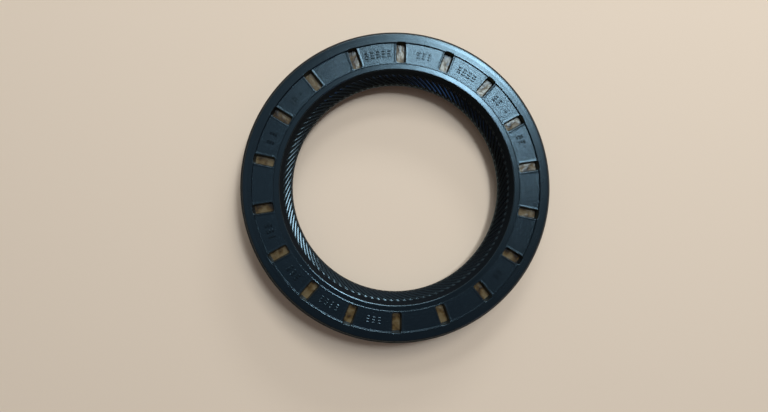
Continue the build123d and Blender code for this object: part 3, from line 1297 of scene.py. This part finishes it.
def even_light(scene):
    """The world: an even light by direction, and a plain backdrop where the camera looks past the floor."""
    stage = scene.seal_stage
    world = bpy.data.worlds.new("even light")
    world.use_nodes = True
    tree = world.node_tree
    tree.nodes.clear()
    direction = add_node(tree, "ShaderNodeTexCoord").outputs["Generated"]
    height = add_node(tree, "ShaderNodeSeparateXYZ", {0: direction}).outputs["Z"]

    edge = math.cos(stage.behind_edge)
    behind = add_node(tree, "ShaderNodeMapRange", {
        0: height, 1: edge - BLUR, 2: edge + BLUR, 3: stage.behind_low, 4: stage.behind,
    })
    near_side = add_node(tree, "ShaderNodeBackground", {"Color": stage.behind_colour, "Strength": behind})
    far_side = add_node(tree, "ShaderNodeBackground", {"Color": stage.fill_colour, "Strength": stage.fill})
    to_far_side = add_node(
        tree, "ShaderNodeVectorMath", {0: direction, 1: FILL_DIRECTION}, operation="DOT_PRODUCT",
    ).outputs["Value"]
    beyond = add_node(tree, "ShaderNodeMapRange", {0: to_far_side, 1: FILL_SPAN[0], 2: FILL_SPAN[1]})
    around = add_node(tree, "ShaderNodeMixShader", {0: beyond, 1: near_side, 2: far_side})

    edge = math.cos(stage.overhead_edge)
    above = add_node(tree, "ShaderNodeMapRange", {0: height, 1: edge - BLUR, 2: edge + BLUR})
    overhead = add_node(tree, "ShaderNodeBackground", {
        "Color": stage.overhead_colour, "Strength": stage.overhead,
    })
    everywhere = add_node(tree, "ShaderNodeMixShader", {0: above, 1: around, 2: overhead})

    seen = add_node(tree, "ShaderNodeLightPath").outputs["Is Camera Ray"]
    backdrop = add_node(tree, "ShaderNodeBackground", {
        "Color": scene.seal_colours.backdrop, "Strength": 1.0,
    })
    shown = add_node(tree, "ShaderNodeMixShader", {0: seen, 1: everywhere, 2: backdrop})
    add_node(tree, "ShaderNodeOutputWorld", {"Surface": shown})
    return world


# ---------------------------------------------------------------- operators


class SEAL_OT_moulding(Operator):
    """Build the rubber moulding: cover, face with its windows, ribbed lip and spring groove"""

    bl_idname = "seal.moulding"
    bl_label = "Rubber moulding"

    def execute(self, context):
        scene = context.scene
        sector = moulding_sector(scene)
        start = bpy.data.meshes.new("moulding sector")
        start.from_pydata([[c * MM for c in point] for point in sector.points], [], sector.faces)
        start.attributes.new("finish", "INT", "FACE").data.foreach_set("value", sector.finishes)
        piece = mesh_from_tree("rubber_moulding", start, turned_copies_tree(), {
            "Copies": scene.seal_windows.count,
            "First Angle": scene.seal_windows.first_angle,
            "Merge Distance": MERGE_DISTANCE * MM,
            "Sharp Angle": SHARP_ANGLE,
            FINISHES[SATIN]: satin_rubber_material(scene),
            FINISHES[GRAINED]: grained_rubber_material(scene),
            FINISHES[MATT]: matt_rubber_material(scene),
            FINISHES[POLISHED]: polished_rubber_material(scene),
            FINISHES[FINE_GRAINED]: fine_grained_rubber_material(scene),
        }, weighted=True)
        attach(piece, BODY)
        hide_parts("rubber_body")
        return {"FINISHED"}


class SEAL_OT_marks(Operator):
    """Raise plain bars, dashes and dots on the pads, where such seals carry their marks"""

    bl_idname = "seal.marks"
    bl_label = "Pad marks"

    def execute(self, context):
        scene = context.scene
        marks = sizes(scene.seal_marks)
        places, turns, kinds = zip(*mark_places(scene))
        start = bpy.data.meshes.new("mark places")
        start.from_pydata(places, [], [])
        start.attributes.new("turn", "FLOAT", "POINT").data.foreach_set("value", turns)
        start.attributes.new("kind", "INT", "POINT").data.foreach_set("value", kinds)
        shapes = {
            "Bar": raised_mark("bar", marks.bar_length, marks.width, marks),
            "Dash": raised_mark("dash", marks.dash_length, marks.width, marks),
            "Dot": raised_mark("dot", marks.dot_length, marks.dot_length, marks),
        }
        piece = mesh_from_tree("pad_marks", start, pad_marks_tree(), {
            **shapes,
            "Material": bpy.data.materials[rubber_name(POLISHED)],
        })
        for helper in shapes.values():
            bpy.data.objects.remove(helper)
        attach(piece, BODY)
        return {"FINISHED"}


class SEAL_OT_case(Operator):
    """Give the pressed case its bonding coat"""

    bl_idname = "seal.case"
    bl_label = "Coated case"

    def execute(self, context):
        coat = case_material(context.scene)
        for place in frame["nodes"]["metal_case"].material_slots:
            place.material = coat
        return {"FINISHED"}


class SEAL_OT_spring(Operator):
    """Wind the garter spring in its groove"""

    bl_idname = "seal.spring"
    bl_label = "Garter spring"

    def execute(self, context):
        scene = context.scene
        spring = scene.seal_spring
        at = seal_places(scene)
        piece = mesh_from_tree("wound_garter_spring", bpy.data.meshes.new("start"), wound_spring_tree(), {
            "Ring Radius": at.spring_ring * MM,
            "Height": at.spring_height * MM,
            "Coil Radius": (spring.section - spring.wire) / 2,
            "Wire Radius": spring.wire / 2,
            "Turns": spring.turns,
            "Steps": spring.steps,
            "Sides": spring.sides,
            "Material": wire_material(scene),
        })
        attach(piece, BODY)
        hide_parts("garter_spring")
        return {"FINISHED"}


class SEAL_OT_stage(Operator):
    """Set up the floor, the lights and the camera"""

    bl_idname = "seal.stage"
    bl_label = "Stage"

    def execute(self, context):
        scene = context.scene
        stage = scene.seal_stage
        half = stage.floor_size / 2
        mesh = bpy.data.meshes.new("floor")
        corners = [(-half, -half, 0), (half, -half, 0), (half, half, 0), (-half, half, 0)]
        mesh.from_pydata(corners, [], [(0, 1, 2, 3)])
        mesh.materials.append(floor_material(scene))
        floor = bpy.data.objects.new("floor", mesh)
        scene.collection.objects.link(floor)

        for name in LIGHTS:
            add_light(scene, name)
        scene.world = even_light(scene)

        camera = bpy.data.objects.new("camera", bpy.data.cameras.new("camera"))
        camera.data.lens = stage.lens
        camera.data.clip_start = 0.01
        camera.location = stage.camera_place
        camera.rotation_euler = stage.camera_turn
        scene.collection.objects.link(camera)
        scene.camera = camera
        scene.view_settings.view_transform = "Standard"
        return {"FINISHED"}


class SEAL_PT_panel(Panel):
    """Lists the seal's pieces and their sizes"""

    bl_idname = "SEAL_PT_panel"
    bl_label = "Radial shaft seal"
    bl_space_type = "VIEW_3D"
    bl_region_type = "UI"
    bl_category = "Seal"

    def draw(self, context):
        for operator in OPERATORS:
            self.layout.operator(operator.bl_idname)
        for name, group in GROUPS.items():
            box = self.layout.box()
            box.label(text=group.__doc__)
            for item in group.__annotations__:
                box.prop(getattr(context.scene, name), item)


OPERATORS = (SEAL_OT_moulding, SEAL_OT_marks, SEAL_OT_case, SEAL_OT_spring, SEAL_OT_stage)


def register():
    """Register the property groups, the operators and the panel."""
    for name, group in GROUPS.items():
        bpy.utils.register_class(group)
        setattr(bpy.types.Scene, name, PointerProperty(type=group))
    for kind in (*OPERATORS, SEAL_PT_panel):
        bpy.utils.register_class(kind)


def unregister():
    """Take back what register did."""
    for kind in (SEAL_PT_panel, *reversed(OPERATORS)):
        bpy.utils.unregister_class(kind)
    for name, group in reversed(GROUPS.items()):
        delattr(bpy.types.Scene, name)
        bpy.utils.unregister_class(group)


def main():
    """Build every piece in order."""
    register()
    bpy.ops.seal.moulding()
    bpy.ops.seal.marks()
    bpy.ops.seal.case()
    bpy.ops.seal.spring()
    bpy.ops.seal.stage()


if __name__ == "__main__":
    main()
